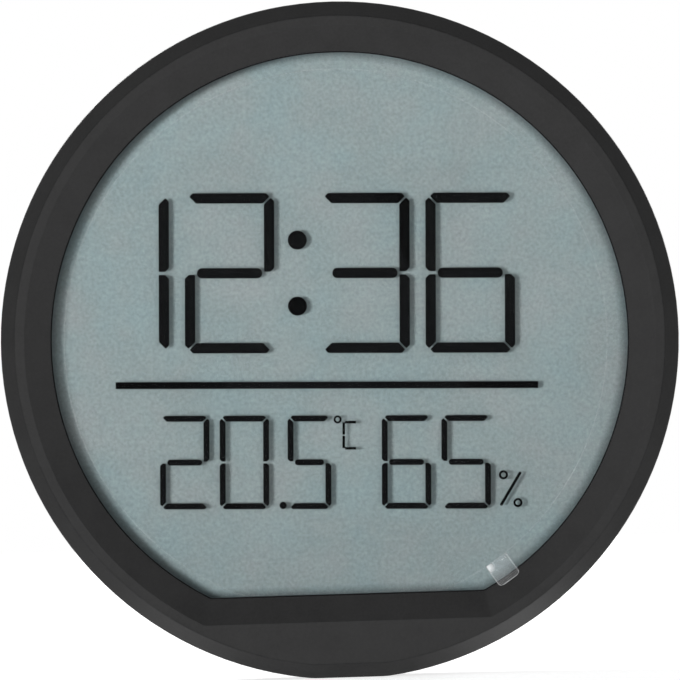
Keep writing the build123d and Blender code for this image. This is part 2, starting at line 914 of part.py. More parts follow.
def stand_recess_outline(grow):
    """The recess that the stand folds into, with the finger scoop at its side."""
    leg_outline(stand_gap + grow, recess_top - stand_gap)
    with Locations((stand_width / 2, finger_level)):
        RectangleRounded(2 * (finger_reach + grow), finger_height + 2 * grow, finger_round + grow)


# Rear case: the shell, then what stands on its inside, then all cuts
door_low = tray_level - door_lap
tab_block_offset = (button_places[-2] + button_places[-1]) / 2
tab_end = back_wall + tab_block_gap + tab_block_thickness
tab_sweep = hypot(tab_end, max(tab_block_reach, tab_block_root)) + tab_notch_gap
lug_height = door_back + battery_clearance + battery_radius + contact_length / 2 - contact_sheet / 2
cell_levels = [
    tray_level + battery_clearance + battery_radius,
    tray_level + 2 * battery_clearance + 3 * battery_radius,
]
with BuildPart() as rear_case:
    with BuildSketch(front_plane(0)):
        Circle(tub_radius)
    extrude(amount=tub_front)
    fillet(rear_case.faces().sort_by(Axis.Y)[-1].edges(), radius=tub_edge_round)
    with BuildSketch(front_plane(back_wall)):
        Circle(tub_radius - tub_wall)
    extrude(amount=tub_front - back_wall, mode=Mode.SUBTRACT)
    # Blocks for the battery tray, the stand's recess, the keyhole's hood and the screw wells
    with BuildSketch(front_plane(back_wall)):
        with Locations((0, tray_middle)):
            Rectangle(tray_length + 2 * tray_wall, tray_height + 2 * tray_wall)
    extrude(amount=tray_front + tray_wall - back_wall)
    with BuildSketch(front_plane(back_wall)):
        stand_recess_outline(stand_pocket_wall)
    extrude(amount=stand_floor + stand_pocket_wall - back_wall)
    with BuildSketch(front_plane(back_wall)):
        with Locations((0, keyhole_level + keyhole_travel / 2)):
            SlotCenterToCenter(keyhole_travel, 2 * (keyhole_hood + hood_wall), rotation=90)
    extrude(amount=keyhole_depth + hood_wall)
    with BuildSketch(front_plane(back_wall)):
        with case_places():
            Circle(well_radius + well_wall)
    extrude(amount=boss_back - back_wall)
    with BuildSketch(front_plane(back_wall)):
        with key_places():
            Circle(button_pad_radius)
    extrude(amount=button_pad_height)
    # The tray, the seat of its door and the notches for the door's tabs
    with BuildSketch(front_plane(0)):
        with Locations((0, tray_middle)):
            Rectangle(tray_length, tray_height)
    extrude(amount=tray_front, mode=Mode.SUBTRACT)
    with BuildSketch(front_plane(0)):
        with Locations((0, tray_middle)):
            Rectangle(tray_length + 2 * tray_wall, tray_height + 2 * tray_wall)
    extrude(amount=door_back, mode=Mode.SUBTRACT)
    with BuildSketch(front_plane(door_back)):
        with Locations((0, tray_level)):
            with GridLocations(2 * tab_block_offset, 0, 2, 1):
                notch_width = tab_block_width + 2 * tab_notch_gap
                Rectangle(notch_width, tray_wall, align=(Align.CENTER, Align.MAX))
    extrude(amount=tab_sweep - door_back, mode=Mode.SUBTRACT)
    with BuildSketch(front_plane(0)):
        with Locations((0, tray_top + tray_wall)):
            Rectangle(latch_scoop_width, latch_scoop_height, align=(Align.CENTER, Align.MIN))
    extrude(amount=latch_scoop_depth, mode=Mode.SUBTRACT)
    # Slots for the two solder lugs in the tray's end wall
    with BuildSketch(Plane.YZ.offset(tray_length / 2)):
        with Locations(*[(-lug_height, level) for level in cell_levels]):
            Rectangle(contact_sheet + 2 * slot_clearance, lug_width + 2 * slot_clearance)
    extrude(amount=tray_wall, mode=Mode.SUBTRACT)
    # The stand's recess and the holes of its pin
    with BuildSketch(front_plane(0)):
        stand_recess_outline(0)
    extrude(amount=stand_floor, mode=Mode.SUBTRACT)
    with BuildSketch(Plane.YZ):
        with Locations((-stand_pivot_height, stand_pivot_level)):
            Circle(pin_radius + pin_fit_gap)
    extrude(amount=stand_width / 2 + stand_gap + stand_pocket_wall, both=True, mode=Mode.SUBTRACT)
    # The keyhole: room behind the wall for a screw's head, its hole and its slot
    with BuildSketch(front_plane(back_wall)):
        with Locations((0, keyhole_level + keyhole_travel / 2)):
            SlotCenterToCenter(keyhole_travel, 2 * keyhole_hood, rotation=90)
    extrude(amount=keyhole_depth, mode=Mode.SUBTRACT)
    with BuildSketch(front_plane(0)):
        with Locations((0, keyhole_level)):
            Circle(keyhole_radius)
        with Locations((0, keyhole_level + keyhole_travel / 2)):
            SlotCenterToCenter(keyhole_travel, 2 * keyhole_slot_radius, rotation=90)
    extrude(amount=back_wall, mode=Mode.SUBTRACT)
    # Screw wells, button holes in their dishes, and the vents
    with BuildSketch(front_plane(0)):
        with case_places():
            Circle(well_radius)
    extrude(amount=well_back, mode=Mode.SUBTRACT)
    with BuildSketch(front_plane(well_back)):
        with case_places():
            Circle(case_screw_radius + screw_clearance)
    extrude(amount=well_floor, mode=Mode.SUBTRACT)
    with BuildSketch(front_plane(0)):
        with key_places():
            Circle(dish_radius)
    extrude(amount=dish_depth, mode=Mode.SUBTRACT)
    with BuildSketch(front_plane(0)):
        with key_places():
            Circle(button_hole)
    extrude(amount=back_wall + button_pad_height, mode=Mode.SUBTRACT)
    with BuildSketch(front_plane(0)):
        with Locations((-vent_offset, vent_level)):
            with GridLocations(vent_pitch, 0, vent_count, 1):
                SlotOverall(vent_length, vent_width, rotation=90)
    extrude(amount=back_wall, mode=Mode.SUBTRACT)
save(rear_case.part, "rear_case")

# Battery door: plate with a latch tongue, grip grooves and two tabs at its lower edge
door_top = tray_top + door_lap
with BuildPart() as battery_door:
    with BuildSketch(front_plane(0)):
        with Locations((0, tray_middle)):
            Rectangle(tray_length + 2 * door_lap, tray_height + 2 * door_lap)
        with Locations((0, door_top)):
            with GridLocations(latch_width + latch_slit, 0, 2, 1):
                slit_place = (Align.CENTER, Align.MAX)
                Rectangle(latch_slit, latch_length, align=slit_place, mode=Mode.SUBTRACT)
    extrude(amount=door_thickness)
    with BuildSketch(front_plane(door_thickness)):
        with Locations((0, door_low)):
            with GridLocations(2 * tab_block_offset, 0, 2, 1):
                Rectangle(tab_block_width, tab_block_root, align=(Align.CENTER, Align.MIN))
    extrude(amount=tab_end - door_thickness)
    with BuildSketch(front_plane(tab_end)):
        with Locations((0, door_low)):
            with GridLocations(2 * tab_block_offset, 0, 2, 1):
                Rectangle(tab_block_width, tab_block_reach, align=(Align.CENTER, Align.MAX))
    extrude(amount=-tab_block_thickness)
    with BuildSketch(front_plane(0)):
        with Locations((0, door_top - latch_length)):
            with GridLocations(0, 2 * groove_width, 1, groove_count):
                Rectangle(latch_width, groove_width)
    extrude(amount=groove_depth, mode=Mode.SUBTRACT)
save(battery_door.part, "battery_door")

# Two cells that lie opposite ways. The side of a cell's nub is 1 to the right, -1 to the left.
cell_height = door_back + battery_clearance + battery_radius
end_face = tray_length / 2
nub_tip = end_face - contact_sheet - dimple_height
flat_end = battery_length - nub_tip
cell_table = [("battery_upper", cell_levels[1], 1), ("battery_lower", cell_levels[0], -1)]
for name, level, side in cell_table:
    with BuildPart() as battery:
        with BuildSketch(Plane.YZ.offset(-side * flat_end)):
            with Locations((-cell_height, level)):
                Circle(battery_radius)
        extrude(amount=side * (battery_length - battery_nub_length))
        fillet(battery.edges().filter_by(GeomType.CIRCLE), radius=battery_edge_round)
        with BuildSketch(Plane.YZ.offset(side * (nub_tip - battery_nub_length))):
            with Locations((-cell_height, level)):
                Circle(battery_nub_radius)
        extrude(amount=side * battery_nub_length)
    save(battery.part, name)


def make_dimple(level, side):
    """The raised spot of a contact sheet that meets a cell's nub."""
    with BuildPart() as dimple:
        with BuildSketch(Plane.YZ.offset(side * nub_tip)):
            with Locations((-cell_height, level)):
                Circle(dimple_radius)
        extrude(amount=side * dimple_height)
    return dimple.part


def make_spring(level, side):
    """The conical spring of a contact sheet that meets a cell's flat end."""
    sheet_face = end_face - contact_sheet
    length = sheet_face - flat_end - spring_wire - spring_seat_gap
    with BuildPart() as spring:
        with BuildLine() as coil:
            Helix(
                pitch=length / spring_turns,
                height=length,
                radius=spring_radius,
                center=(side * sheet_face, -cell_height, level),
                direction=(-side, 0, 0),
                cone_angle=spring_cone,
            )
        with BuildSketch(Plane(origin=coil.line @ 0, z_dir=coil.line % 0)):
            Circle(spring_wire)
        sweep(path=coil.line, is_frenet=True)
    return spring.part


# The bridge joins the cells at the left, and the terminals have a lug through the wall
bridge_ends = [make_dimple(cell_levels[0], -1), make_spring(cell_levels[1], -1)]
with BuildPart() as contact_bridge:
    with BuildSketch(Plane.YZ.offset(-end_face)):
        with Locations((-cell_height, sum(cell_levels) / 2)):
            Rectangle(contact_length, cell_levels[1] - cell_levels[0] + contact_width)
    extrude(amount=contact_sheet)
    add(bridge_ends)
save(contact_bridge.part, "contact_bridge")

terminals = [
    ("contact_plus", cell_levels[1], make_dimple(cell_levels[1], 1)),
    ("contact_minus", cell_levels[0], make_spring(cell_levels[0], 1)),
]
for name, level, cell_end in terminals:
    with BuildPart() as terminal:
        with BuildSketch(Plane.YZ.offset(end_face)):
            with Locations((-cell_height, level)):
                Rectangle(contact_length, contact_width)
        extrude(amount=-contact_sheet)
        with BuildSketch(Plane.YZ.offset(end_face)):
            with Locations((-lug_height, level)):
                Rectangle(contact_sheet, lug_width)
        extrude(amount=tray_wall + lug_reach)
        add(cell_end)
    save(terminal.part, name)

# Wires from the two lugs to the board, which run past the last switch
lug_end = end_face + tray_wall + lug_reach
landing_level = board_top_level - lead_landing
lead_bend = 3 * lead_radius
lead_step = 5 * lead_radius
lead_start = max(lug_end, button_places[-1] + switch_width / 2)
for name, level, steps in [("lead_plus", cell_levels[1], 2), ("lead_minus", cell_levels[0], 1)]:
    far = lead_start + steps * lead_step
    route = [
        (lug_end, -lug_height, level),
        (far, -lug_height, level),
        (far, -lug_height, landing_level),
        (far, -board_back, landing_level),
    ]
    with BuildPart() as lead:
        with BuildLine() as path:
            FilletPolyline(*route, radius=lead_bend)
        with BuildSketch(Plane(origin=route[0], z_dir=(1, 0, 0))):
            Circle(lead_radius)
        sweep(path=path.line)
    save(lead.part, name)

# Fold-out stand: leg with barrel and heel, its pin and the rubber strip at its end
foot_middle = stand_recess + stand_thickness / 2
with BuildPart() as stand_leg:
    with BuildSketch(front_plane(stand_recess)):
        leg_outline(0, stand_pivot_level)
    extrude(amount=stand_thickness)
    with BuildSketch(Plane.YZ):
        with Locations((-stand_pivot_height, stand_pivot_level)):
            Circle(barrel_radius)
    extrude(amount=stand_width / 2, both=True)
    with BuildSketch(front_plane(stand_pivot_height - heel_thickness / 2)):
        with Locations((0, stand_pivot_level)):
            Rectangle(heel_width, heel_length, align=(Align.CENTER, Align.MIN))
    extrude(amount=heel_thickness)
    with BuildSketch(front_plane(stand_recess)):
        with Locations((0, stand_pivot_level - barrel_radius - stand_panel_rim)):
            RectangleRounded(
                stand_width - 2 * stand_panel_rim,
                stand_length - barrel_radius - 2 * stand_panel_rim - foot_length,
                stand_corner - stand_panel_rim,
                align=(Align.CENTER, Align.MAX),
            )
    extrude(amount=stand_panel_depth, mode=Mode.SUBTRACT)
    with BuildSketch(Plane.YZ):
        with Locations((-stand_pivot_height, stand_pivot_level)):
            Circle(pin_radius + pin_running_gap)
    extrude(amount=stand_width / 2, both=True, mode=Mode.SUBTRACT)
    with BuildSketch(front_plane(foot_middle - foot_thickness / 2)):
        with Locations((0, stand_end)):
            Rectangle(foot_width, foot_length, align=(Align.CENTER, Align.MIN))
    extrude(amount=foot_thickness, mode=Mode.SUBTRACT)
save(stand_leg.part, "stand_leg")

with BuildPart() as stand_foot:
    with BuildSketch(front_plane(foot_middle - foot_thickness / 2)):
        with Locations((0, stand_end + foot_length)):
            Rectangle(foot_width, foot_length + foot_proud, align=(Align.CENTER, Align.MAX))
    extrude(amount=foot_thickness)
save(stand_foot.part, "stand_foot")

with BuildPart() as stand_pin:
    with BuildSketch(Plane.YZ):
        with Locations((-stand_pivot_height, stand_pivot_level)):
            Circle(pin_radius)
    extrude(amount=stand_width / 2 + stand_gap + pin_bite, both=True)
save(stand_pin.part, "stand_pin")
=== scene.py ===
import bpy
import bmesh
from math import cos, pi, radians, sin, sqrt, tan
from mathutils import Matrix, Vector


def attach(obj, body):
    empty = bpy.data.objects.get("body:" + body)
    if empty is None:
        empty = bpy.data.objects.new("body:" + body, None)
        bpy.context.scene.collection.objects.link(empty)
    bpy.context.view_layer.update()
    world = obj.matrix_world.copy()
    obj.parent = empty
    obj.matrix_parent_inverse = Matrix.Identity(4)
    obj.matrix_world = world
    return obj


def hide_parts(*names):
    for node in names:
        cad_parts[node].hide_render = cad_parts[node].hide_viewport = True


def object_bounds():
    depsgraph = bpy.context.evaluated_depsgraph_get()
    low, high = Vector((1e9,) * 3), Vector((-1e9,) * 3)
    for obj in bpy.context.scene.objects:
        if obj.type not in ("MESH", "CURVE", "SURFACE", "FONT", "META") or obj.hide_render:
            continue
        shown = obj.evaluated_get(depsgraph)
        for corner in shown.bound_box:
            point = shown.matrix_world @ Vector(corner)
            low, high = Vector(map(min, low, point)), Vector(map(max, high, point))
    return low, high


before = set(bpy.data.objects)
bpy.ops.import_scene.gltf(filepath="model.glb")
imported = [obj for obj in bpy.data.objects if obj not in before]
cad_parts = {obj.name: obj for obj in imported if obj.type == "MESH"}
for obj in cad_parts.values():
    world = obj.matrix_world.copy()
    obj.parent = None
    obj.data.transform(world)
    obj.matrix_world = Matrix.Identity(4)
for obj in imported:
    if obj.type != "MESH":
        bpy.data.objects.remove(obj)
cad_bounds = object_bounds()
MM = 0.001

# Sizes and places repeated from the CAD source, in millimetres and degrees. The rim's height
# is where the round at the chamfer's foot reaches the full radius.
CASE_RADIUS = 65.009
RIM_HEIGHT = 21.1
DISPLAY_FRONT = 21.9
WINDOW_RADIUS = 55.46
WINDOW_FLAT = 48.86
FILM_RADIUS = 52.109
FILM_SHIFT = 0.8
FILM_CHORD = 48.41
TAB_ANGLE = 55.6
TAB_WIDTH = 4.8
TAB_RISE = 16.5
TAB_CORNER = 0.9
BUTTON_LEVEL = -1.8
BUTTON_PLACES = {"set": -24.0, "up": -8.0, "down": 8.0, "unit": 24.0}
BUTTON_RECESS = 0.3

# The camera looks dead front, rolled so that the case is turned as in the photo. The rim's
# radius and middle are in pixels of the photo, the distances in metres.
PHOTO_SIZE = 680
RIM_PIXELS = 339.05
RIM_MIDDLE_X = 339.78
RIM_MIDDLE_Y = 340.35
CASE_TURN = 1.745
CAMERA_DISTANCE = 2.5
SENSOR_WIDTH = 36.0
VIEW_END = 20.0

# Limits between which most of a noise lies, and shares by which it varies a material
WHITE = (1.0, 1.0, 1.0)
NOISE_LOW = 0.3
NOISE_HIGH = 0.7
NOISE_ROUGHNESS = 0.6
MEAN_LOW = 0.35
MEAN_HIGH = 0.65
GLOSS_SPREAD = 0.08
BAND_GLOSS_SPREAD = 0.15
BAND_MOTTLE = 0.82
HAZE_SPREAD = 0.4
TINT_DIP = 0.985
SHEET_GLOSS = 0.12
HAZE_COLOUR = (0.9, 0.92, 0.93, 1.0)

# Dust on the bezel
DUST_SCALE = 210.0
DUST_RADIUS = 0.035
DUST_RARITY = 0.93
DUST_COLOUR = (0.22, 0.22, 0.21, 1.0)

# Painted shade at the reflector's edge, in millimetres from the window's edge
EDGE_SHADE_WIDTH = 2.0
EDGE_SHADE_DARK = (0.52, 0.53, 0.54)
EDGE_SHADE_MIDDLE = (0.72, 0.73, 0.735)

# The dressed film is one sheet, just below the front of the CAD's, with a narrow rim. Its tab
# is creased up at the root, and ends where it does in the photo. All in millimetres.
SHEET_HEIGHT = 0.075
SHEET_RIM = 0.16
FILM_STEPS = 256
TAB_ROOT_LAP = 0.06
TAB_LENGTH = 4.93
TAB_REACH = TAB_ROOT_LAP + TAB_LENGTH
TAB_LIFT_SHARE = 0.98
TAB_LIFT_POWER = 1.6
TAB_CURL = 0.10
TAB_ROWS = 26
TAB_COLUMNS = 20
# Painted highlight on the tab: white haze round a point at the left end of its root, in
# millimetres
HIGHLIGHT_ALONG = 0.5
HIGHLIGHT_ACROSS = 2.0
HIGHLIGHT_HAZE = 0.75
HIGHLIGHT_INNER = 0.3
HIGHLIGHT_OUTER = 1.5
DISC_SLOT, TAB_SLOT, RIM_SLOT, BORDER_SLOT = range(4)

# Raised generic marks on the four button caps, in millimetres and degrees
MARK_ROOT = 0.05
MARK_PROUD = 0.12
MARK_HALF = 1.3
TRIANGLE_FOOT = 0.9
TRIANGLE_TIP = 1.2
BAR_LEVELS = (-0.9, 0.0, 0.9)
BAR_HALF = 0.2
RING_MIDDLE = (-0.9, 0.9)
RING_RADIUS = 0.5
RING_STEPS = 20
ARC_MIDDLE = (0.5, -0.2)
ARC_OUTER = 1.2
ARC_INNER = 0.8
ARC_START = 45
ARC_SWEEP = 270
ARC_STEPS = 14

# Floor, in metres, and how bright it and the world are
FLOOR_HALF = 1.6
FLOOR_SEGMENTS = 24
FLOOR_GAP = 0.00002
FLOOR_LIFT = 0.72
WORLD_LEVEL = 0.22


def place_camera():
    data = bpy.data.cameras.new("camera")
    camera = bpy.data.objects.new("camera", data)
    bpy.context.scene.collection.objects.link(camera)
    rim_distance = CAMERA_DISTANCE - RIM_HEIGHT * MM
    focal_pixels = RIM_PIXELS * rim_distance / (CASE_RADIUS * MM)
    data.sensor_fit = "HORIZONTAL"
    data.sensor_width = SENSOR_WIDTH
    data.lens = focal_pixels * SENSOR_WIDTH / PHOTO_SIZE
    data.clip_end = VIEW_END
    turn = radians(CASE_TURN)
    right = Vector((cos(turn), 0, -sin(turn)))
    up = Vector((sin(turn), 0, cos(turn)))
    back = Vector((0, -1, 0))
    rotation = Matrix((right, up, back)).transposed().to_4x4()
    # The rim's middle is a fraction of a pixel off the middle of the photo
    pixel = CASE_RADIUS * MM / RIM_PIXELS
    rightward = (PHOTO_SIZE / 2 - RIM_MIDDLE_X) * pixel
    upward = (RIM_MIDDLE_Y - PHOTO_SIZE / 2) * pixel
    place = back * CAMERA_DISTANCE + right * rightward + up * upward
    camera.matrix_world = Matrix.Translation(place) @ rotation
    bpy.context.scene.camera = camera


def link_mesh(name, mesh):
    """A new object in the scene, made of the built mesh."""
    data = bpy.data.meshes.new(name)
    mesh.to_mesh(data)
    mesh.free()
    piece = bpy.data.objects.new(name, data)
    bpy.context.scene.collection.objects.link(piece)
    return piece


# Nodes of materials. A source is a socket, or a plain value.
def new_material(name):
    material = bpy.data.materials.new(name)
    material.use_nodes = True
    tree = material.node_tree
    return material, tree, tree.nodes["Principled BSDF"]


def feed(tree, source, socket):
    if isinstance(source, bpy.types.NodeSocket):
        tree.links.new(source, socket)
    else:
        socket.default_value = source


def add_math(tree, operation, first, second):
    node = tree.nodes.new("ShaderNodeMath")
    node.operation = operation
    feed(tree, first, node.inputs[0])
    feed(tree, second, node.inputs[1])
    return node.outputs["Value"]


def add_vector_math(tree, operation, first, second):
    node = tree.nodes.new("ShaderNodeVectorMath")
    node.operation = operation
    feed(tree, first, node.inputs[0])
    feed(tree, second, node.inputs[1])
    return node.outputs["Vector"]


def add_mix(tree, first, second, factor=1.0, blend="MULTIPLY"):
    node = tree.nodes.new("ShaderNodeMix")
    node.data_type = "RGBA"
    node.blend_type = blend
    for name, source in (("Factor", factor), ("A", first), ("B", second)):
        feed(tree, source, node.inputs[name])
    return node.outputs["Result"]


def add_noise(tree, scale, detail=4.0):
    noise = tree.nodes.new("ShaderNodeTexNoise")
    noise.inputs["Scale"].default_value = scale
    noise.inputs["Detail"].default_value = detail
    noise.inputs["Roughness"].default_value = NOISE_ROUGHNESS
    tree.links.new(object_place(tree), noise.inputs["Vector"])
    return noise.outputs["Fac"]


def add_ramp(tree, source, stops, interpolation="LINEAR"):
    ramp = tree.nodes.new("ShaderNodeValToRGB")
    ramp.color_ramp.interpolation = interpolation
    elements = ramp.color_ramp.elements
    while len(elements) < len(stops):
        elements.new(0.5)
    for element, (place, colour) in zip(elements, stops):
        element.position = place
        element.color = (*colour, 1.0)
    tree.links.new(source, ramp.inputs["Fac"])
    return ramp.outputs["Color"]


def add_range(tree, source, low, high, source_low=NOISE_LOW, source_high=NOISE_HIGH):
    node = tree.nodes.new("ShaderNodeMapRange")
    node.inputs["From Min"].default_value = source_low
    node.inputs["From Max"].default_value = source_high
    node.inputs["To Min"].default_value = low
    node.inputs["To Max"].default_value = high
    tree.links.new(source, node.inputs["Value"])
    return node.outputs["Result"]


def add_bump(tree, source, strength, relief):
    """A bump of that strength over a relief in millimetres."""
    bump = tree.nodes.new("ShaderNodeBump")
    bump.inputs["Strength"].default_value = strength
    bump.inputs["Distance"].default_value = relief * MM
    tree.links.new(source, bump.inputs["Height"])
    return bump.outputs["Normal"]


def object_place(tree):
    return tree.nodes.new("ShaderNodeTexCoord").outputs["Object"]


def object_axis(tree, axis):
    split = tree.nodes.new("ShaderNodeSeparateXYZ")
    tree.links.new(object_place(tree), split.inputs[0])
    return split.outputs[axis]


def front_length(tree, vector):
    """The length that a vector has when it is seen from the front."""
    node = tree.nodes.new("ShaderNodeVectorMath")
    node.operation = "LENGTH"
    tree.links.new(add_vector_math(tree, "MULTIPLY", vector, (1, 0, 1)), node.inputs[0])
    return node.outputs["Value"]


def mix_shaders(tree, share, first, second):
    node = tree.nodes.new("ShaderNodeMixShader")
    for source, socket in zip((share, first.outputs[0], second.outputs[0]), node.inputs):
        tree.links.new(source, socket)
    return node


def shade(colour, factor):
    return tuple(min(1.0, channel * factor) for channel in colour)


def grey(level):
    return (level, level, level)


# Materials
def surface(name, colour, roughness, spread=0.12, grain=1800.0, blotch=90.0, relief=0.010,
            strength=0.35, metallic=0.0, specular=0.5, coat=0.0):
    """A moulded, cast or coated surface: fine grain, soft blotches and uneven gloss."""
    material, tree, shader = new_material(name)
    fine = add_noise(tree, grain)
    broad = add_noise(tree, blotch, detail=3.0)
    mean = add_math(tree, "MULTIPLY", add_math(tree, "ADD", fine, broad), 0.5)
    stops = [(MEAN_LOW, shade(colour, 1 - spread)), (MEAN_HIGH, shade(colour, 1 + spread))]
    tree.links.new(add_ramp(tree, mean, stops), shader.inputs["Base Color"])
    smoothest, roughest = roughness * (1 - GLOSS_SPREAD), roughness * (1 + GLOSS_SPREAD)
    uneven = add_range(tree, broad, smoothest, min(1.0, roughest))
    tree.links.new(uneven, shader.inputs["Roughness"])
    tree.links.new(add_bump(tree, fine, strength, relief), shader.inputs["Normal"])
    shader.inputs["Metallic"].default_value = metallic
    shader.inputs["Specular IOR Level"].default_value = specular
    shader.inputs["Coat Weight"].default_value = coat
    return material


def clear_layer(name, tint, haze, index, wave=60.0):
    """A clear sheet: light goes straight through, with a weak gloss and a little haze."""
    material, tree, principled = new_material(name)
    tree.nodes.remove(principled)
    ripple = add_noise(tree, wave, detail=3.0)
    through = tree.nodes.new("ShaderNodeBsdfTransparent")
    stops = [(NOISE_LOW, shade(tint, TINT_DIP)), (NOISE_HIGH, tint)]
    tree.links.new(add_ramp(tree, ripple, stops), through.inputs["Color"])
    cloud = tree.nodes.new("ShaderNodeBsdfDiffuse")
    cloud.inputs["Color"].default_value = HAZE_COLOUR
    gloss = tree.nodes.new("ShaderNodeBsdfGlossy")
    gloss.inputs["Roughness"].default_value = SHEET_GLOSS
    fresnel = tree.nodes.new("ShaderNodeFresnel")
    fresnel.inputs["IOR"].default_value = index
    flat = tree.nodes.new("ShaderNodeNewGeometry").outputs["True Normal"]
    for node in (gloss, fresnel, cloud):
        tree.links.new(flat, node.inputs["Normal"])
    uneven = add_range(tree, ripple, haze * (1 - HAZE_SPREAD), haze * (1 + HAZE_SPREAD))
    veil = mix_shaders(tree, uneven, through, cloud)
    veil.name = "veil"
    top = mix_shaders(tree, fresnel.outputs[0], veil, gloss)
    tree.links.new(top.outputs[0], tree.nodes["Material Output"].inputs["Surface"])
    return material


def banded(name, axis, limits, bands, roughness):
    """Bands of colour between two places on one axis, in mm, with a fine noise over them."""
    material, tree, shader = new_material(name)
    low, high = limits
    along = add_range(tree, object_axis(tree, axis), 0.0, 1.0, low * MM, high * MM)
    colour = add_ramp(tree, along, bands, "CONSTANT")
    grain = add_noise(tree, scale=700.0)
    mottle = add_ramp(tree, grain, [(NOISE_LOW, grey(BAND_MOTTLE)), (NOISE_HIGH, WHITE)])
    tree.links.new(add_mix(tree, colour, mottle), shader.inputs["Base Color"])
    smoothest, roughest = (roughness * (1 - BAND_GLOSS_SPREAD),
                           roughness * (1 + BAND_GLOSS_SPREAD))
    uneven = add_range(tree, grain, smoothest, roughest)
    tree.links.new(uneven, shader.inputs["Roughness"])
    bump = add_bump(tree, grain, strength=0.2, relief=0.010)
    tree.links.new(bump, shader.inputs["Normal"])
    return material


def bezel_plastic():
    """Matte charcoal plastic with a spark-eroded grain and a few specks of dust."""
    material = surface("bezel_plastic", colour=(0.0150, 0.0150, 0.0152), roughness=0.40,
                       spread=0.2, grain=1900.0, blotch=140.0, strength=0.5, specular=0.11)
    tree = material.node_tree
    base = tree.nodes["Principled BSDF"].inputs["Base Color"]
    plastic = base.links[0].from_socket
    cells = tree.nodes.new("ShaderNodeTexVoronoi")
    cells.inputs["Scale"].default_value = DUST_SCALE
    tree.links.new(object_place(tree), cells.inputs["Vector"])
    chance = tree.nodes.new("ShaderNodeSeparateColor")
    tree.links.new(cells.outputs["Color"], chance.inputs[0])
    near = add_math(tree, "LESS_THAN", cells.outputs["Distance"], DUST_RADIUS)
    rare = add_math(tree, "GREATER_THAN", chance.outputs[0], DUST_RARITY)
    speck = add_math(tree, "MULTIPLY", near, rare)
    tree.links.new(add_mix(tree, plastic, DUST_COLOUR, speck, "MIX"), base)
    return material


def painted_edge_shade(tree):
    """Painted shade: white in the middle of the display, darker in the last 2 mm before the
    window's edge.
    """
    radius = front_length(tree, object_place(tree))
    inward = add_math(tree, "SUBTRACT", WINDOW_RADIUS * MM, radius)
    upward = add_math(tree, "ADD", WINDOW_FLAT * MM, object_axis(tree, "Z"))
    nearest = add_math(tree, "MINIMUM", inward, upward)
    share = add_range(tree, nearest, 0.0, 1.0, 0.0, EDGE_SHADE_WIDTH * MM)
    return add_ramp(tree, share, [(0.25, EDGE_SHADE_DARK), (0.55, EDGE_SHADE_MIDDLE), (1.0, WHITE)])


def reflector_film():
    """Grey-green reflective backing with a soft mottle of warm and cool patches, and painted
    shade near the window's edge.
    """
    material, tree, shader = new_material("reflector_film")
    hue = add_ramp(tree, add_noise(tree, scale=75.0, detail=3.0), [
        (0.32, (0.324, 0.412, 0.430)),
        (0.50, (0.334, 0.402, 0.412)),
        (0.68, (0.358, 0.404, 0.414)),
    ])
    fine = add_noise(tree, scale=1500.0, detail=2.0)
    sparkle = add_ramp(tree, fine, [(NOISE_LOW, (0.78, 0.78, 0.79)), (NOISE_HIGH, WHITE)])
    # Painted shade darkens the colour near the window's edge
    colour_with_edge_shade = add_mix(tree, add_mix(tree, hue, sparkle), painted_edge_shade(tree))
    tree.links.new(colour_with_edge_shade, shader.inputs["Base Color"])
    uneven = add_range(tree, fine, low=0.72, high=0.86)
    bump = add_bump(tree, fine, strength=0.15, relief=0.005)
    tree.links.new(uneven, shader.inputs["Roughness"])
    tree.links.new(bump, shader.inputs["Normal"])
    shader.inputs["Specular IOR Level"].default_value = 0.1
    return material


def board_laminate():
    """Green solder mask over copper tracks on glass fibre."""
    material, tree, shader = new_material("board_laminate")
    tracks = tree.nodes.new("ShaderNodeTexBrick")
    tracks.inputs["Scale"].default_value = 160.0
    tracks.inputs["Mortar Size"].default_value = 0.09
    tracks.inputs["Color1"].default_value = (0.012, 0.085, 0.035, 1.0)
    tracks.inputs["Color2"].default_value = (0.014, 0.095, 0.04, 1.0)
    tracks.inputs["Mortar"].default_value = (0.03, 0.17, 0.07, 1.0)
    turn = tree.nodes.new("ShaderNodeMapping")
    turn.inputs["Rotation"].default_value = (pi / 2, 0, 0)
    tree.links.new(object_place(tree), turn.inputs["Vector"])
    tree.links.new(turn.outputs[0], tracks.inputs["Vector"])
    tree.links.new(tracks.outputs["Color"], shader.inputs["Base Color"])
    uneven = add_range(tree, add_noise(tree, scale=1500.0), low=0.25, high=0.4)
    bump = add_bump(tree, tracks.outputs["Fac"], strength=0.3, relief=0.020)
    tree.links.new(uneven, shader.inputs["Roughness"])
    tree.links.new(bump, shader.inputs["Normal"])
    return material


def paint(node, material):
    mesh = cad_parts[node].data
    mesh.materials.clear()
    mesh.materials.append(material)


def paint_case():
    paint("front_frame", bezel_plastic())
    paint("rear_case", surface(
        "case_plastic", colour=(0.021, 0.021, 0.022), roughness=0.6, grain=2000.0,
        relief=0.016, strength=0.55, specular=0.3))
    paint("battery_door", surface(
        "door_plastic", colour=(0.023, 0.023, 0.024), roughness=0.55, grain=2200.0,
        relief=0.014, strength=0.5, specular=0.3))
    paint("stand_leg", surface(
        "stand_plastic", colour=(0.019, 0.019, 0.020), roughness=0.5, grain=2200.0,
        relief=0.012, strength=0.45, specular=0.35))
    paint("stand_foot", surface(
        "foot_rubber", colour=grey(0.012), roughness=0.85, spread=0.2, grain=1500.0,
        specular=0.2))
    paint("stand_pin", surface(
        "pin_steel", colour=(0.52, 0.51, 0.5), roughness=0.3, spread=0.08, grain=900.0,
        metallic=1.0))
    key = surface("key_plastic", colour=(0.028, 0.028, 0.03), roughness=0.42, grain=1600.0,
                  specular=0.4)
    plunger = surface("plunger_plastic", colour=(0.42, 0.40, 0.36), roughness=0.5, spread=0.06)
    for name in BUTTON_PLACES:
        paint(f"button_{name}", key)
        paint(f"switch_plunger_{name}", plunger)


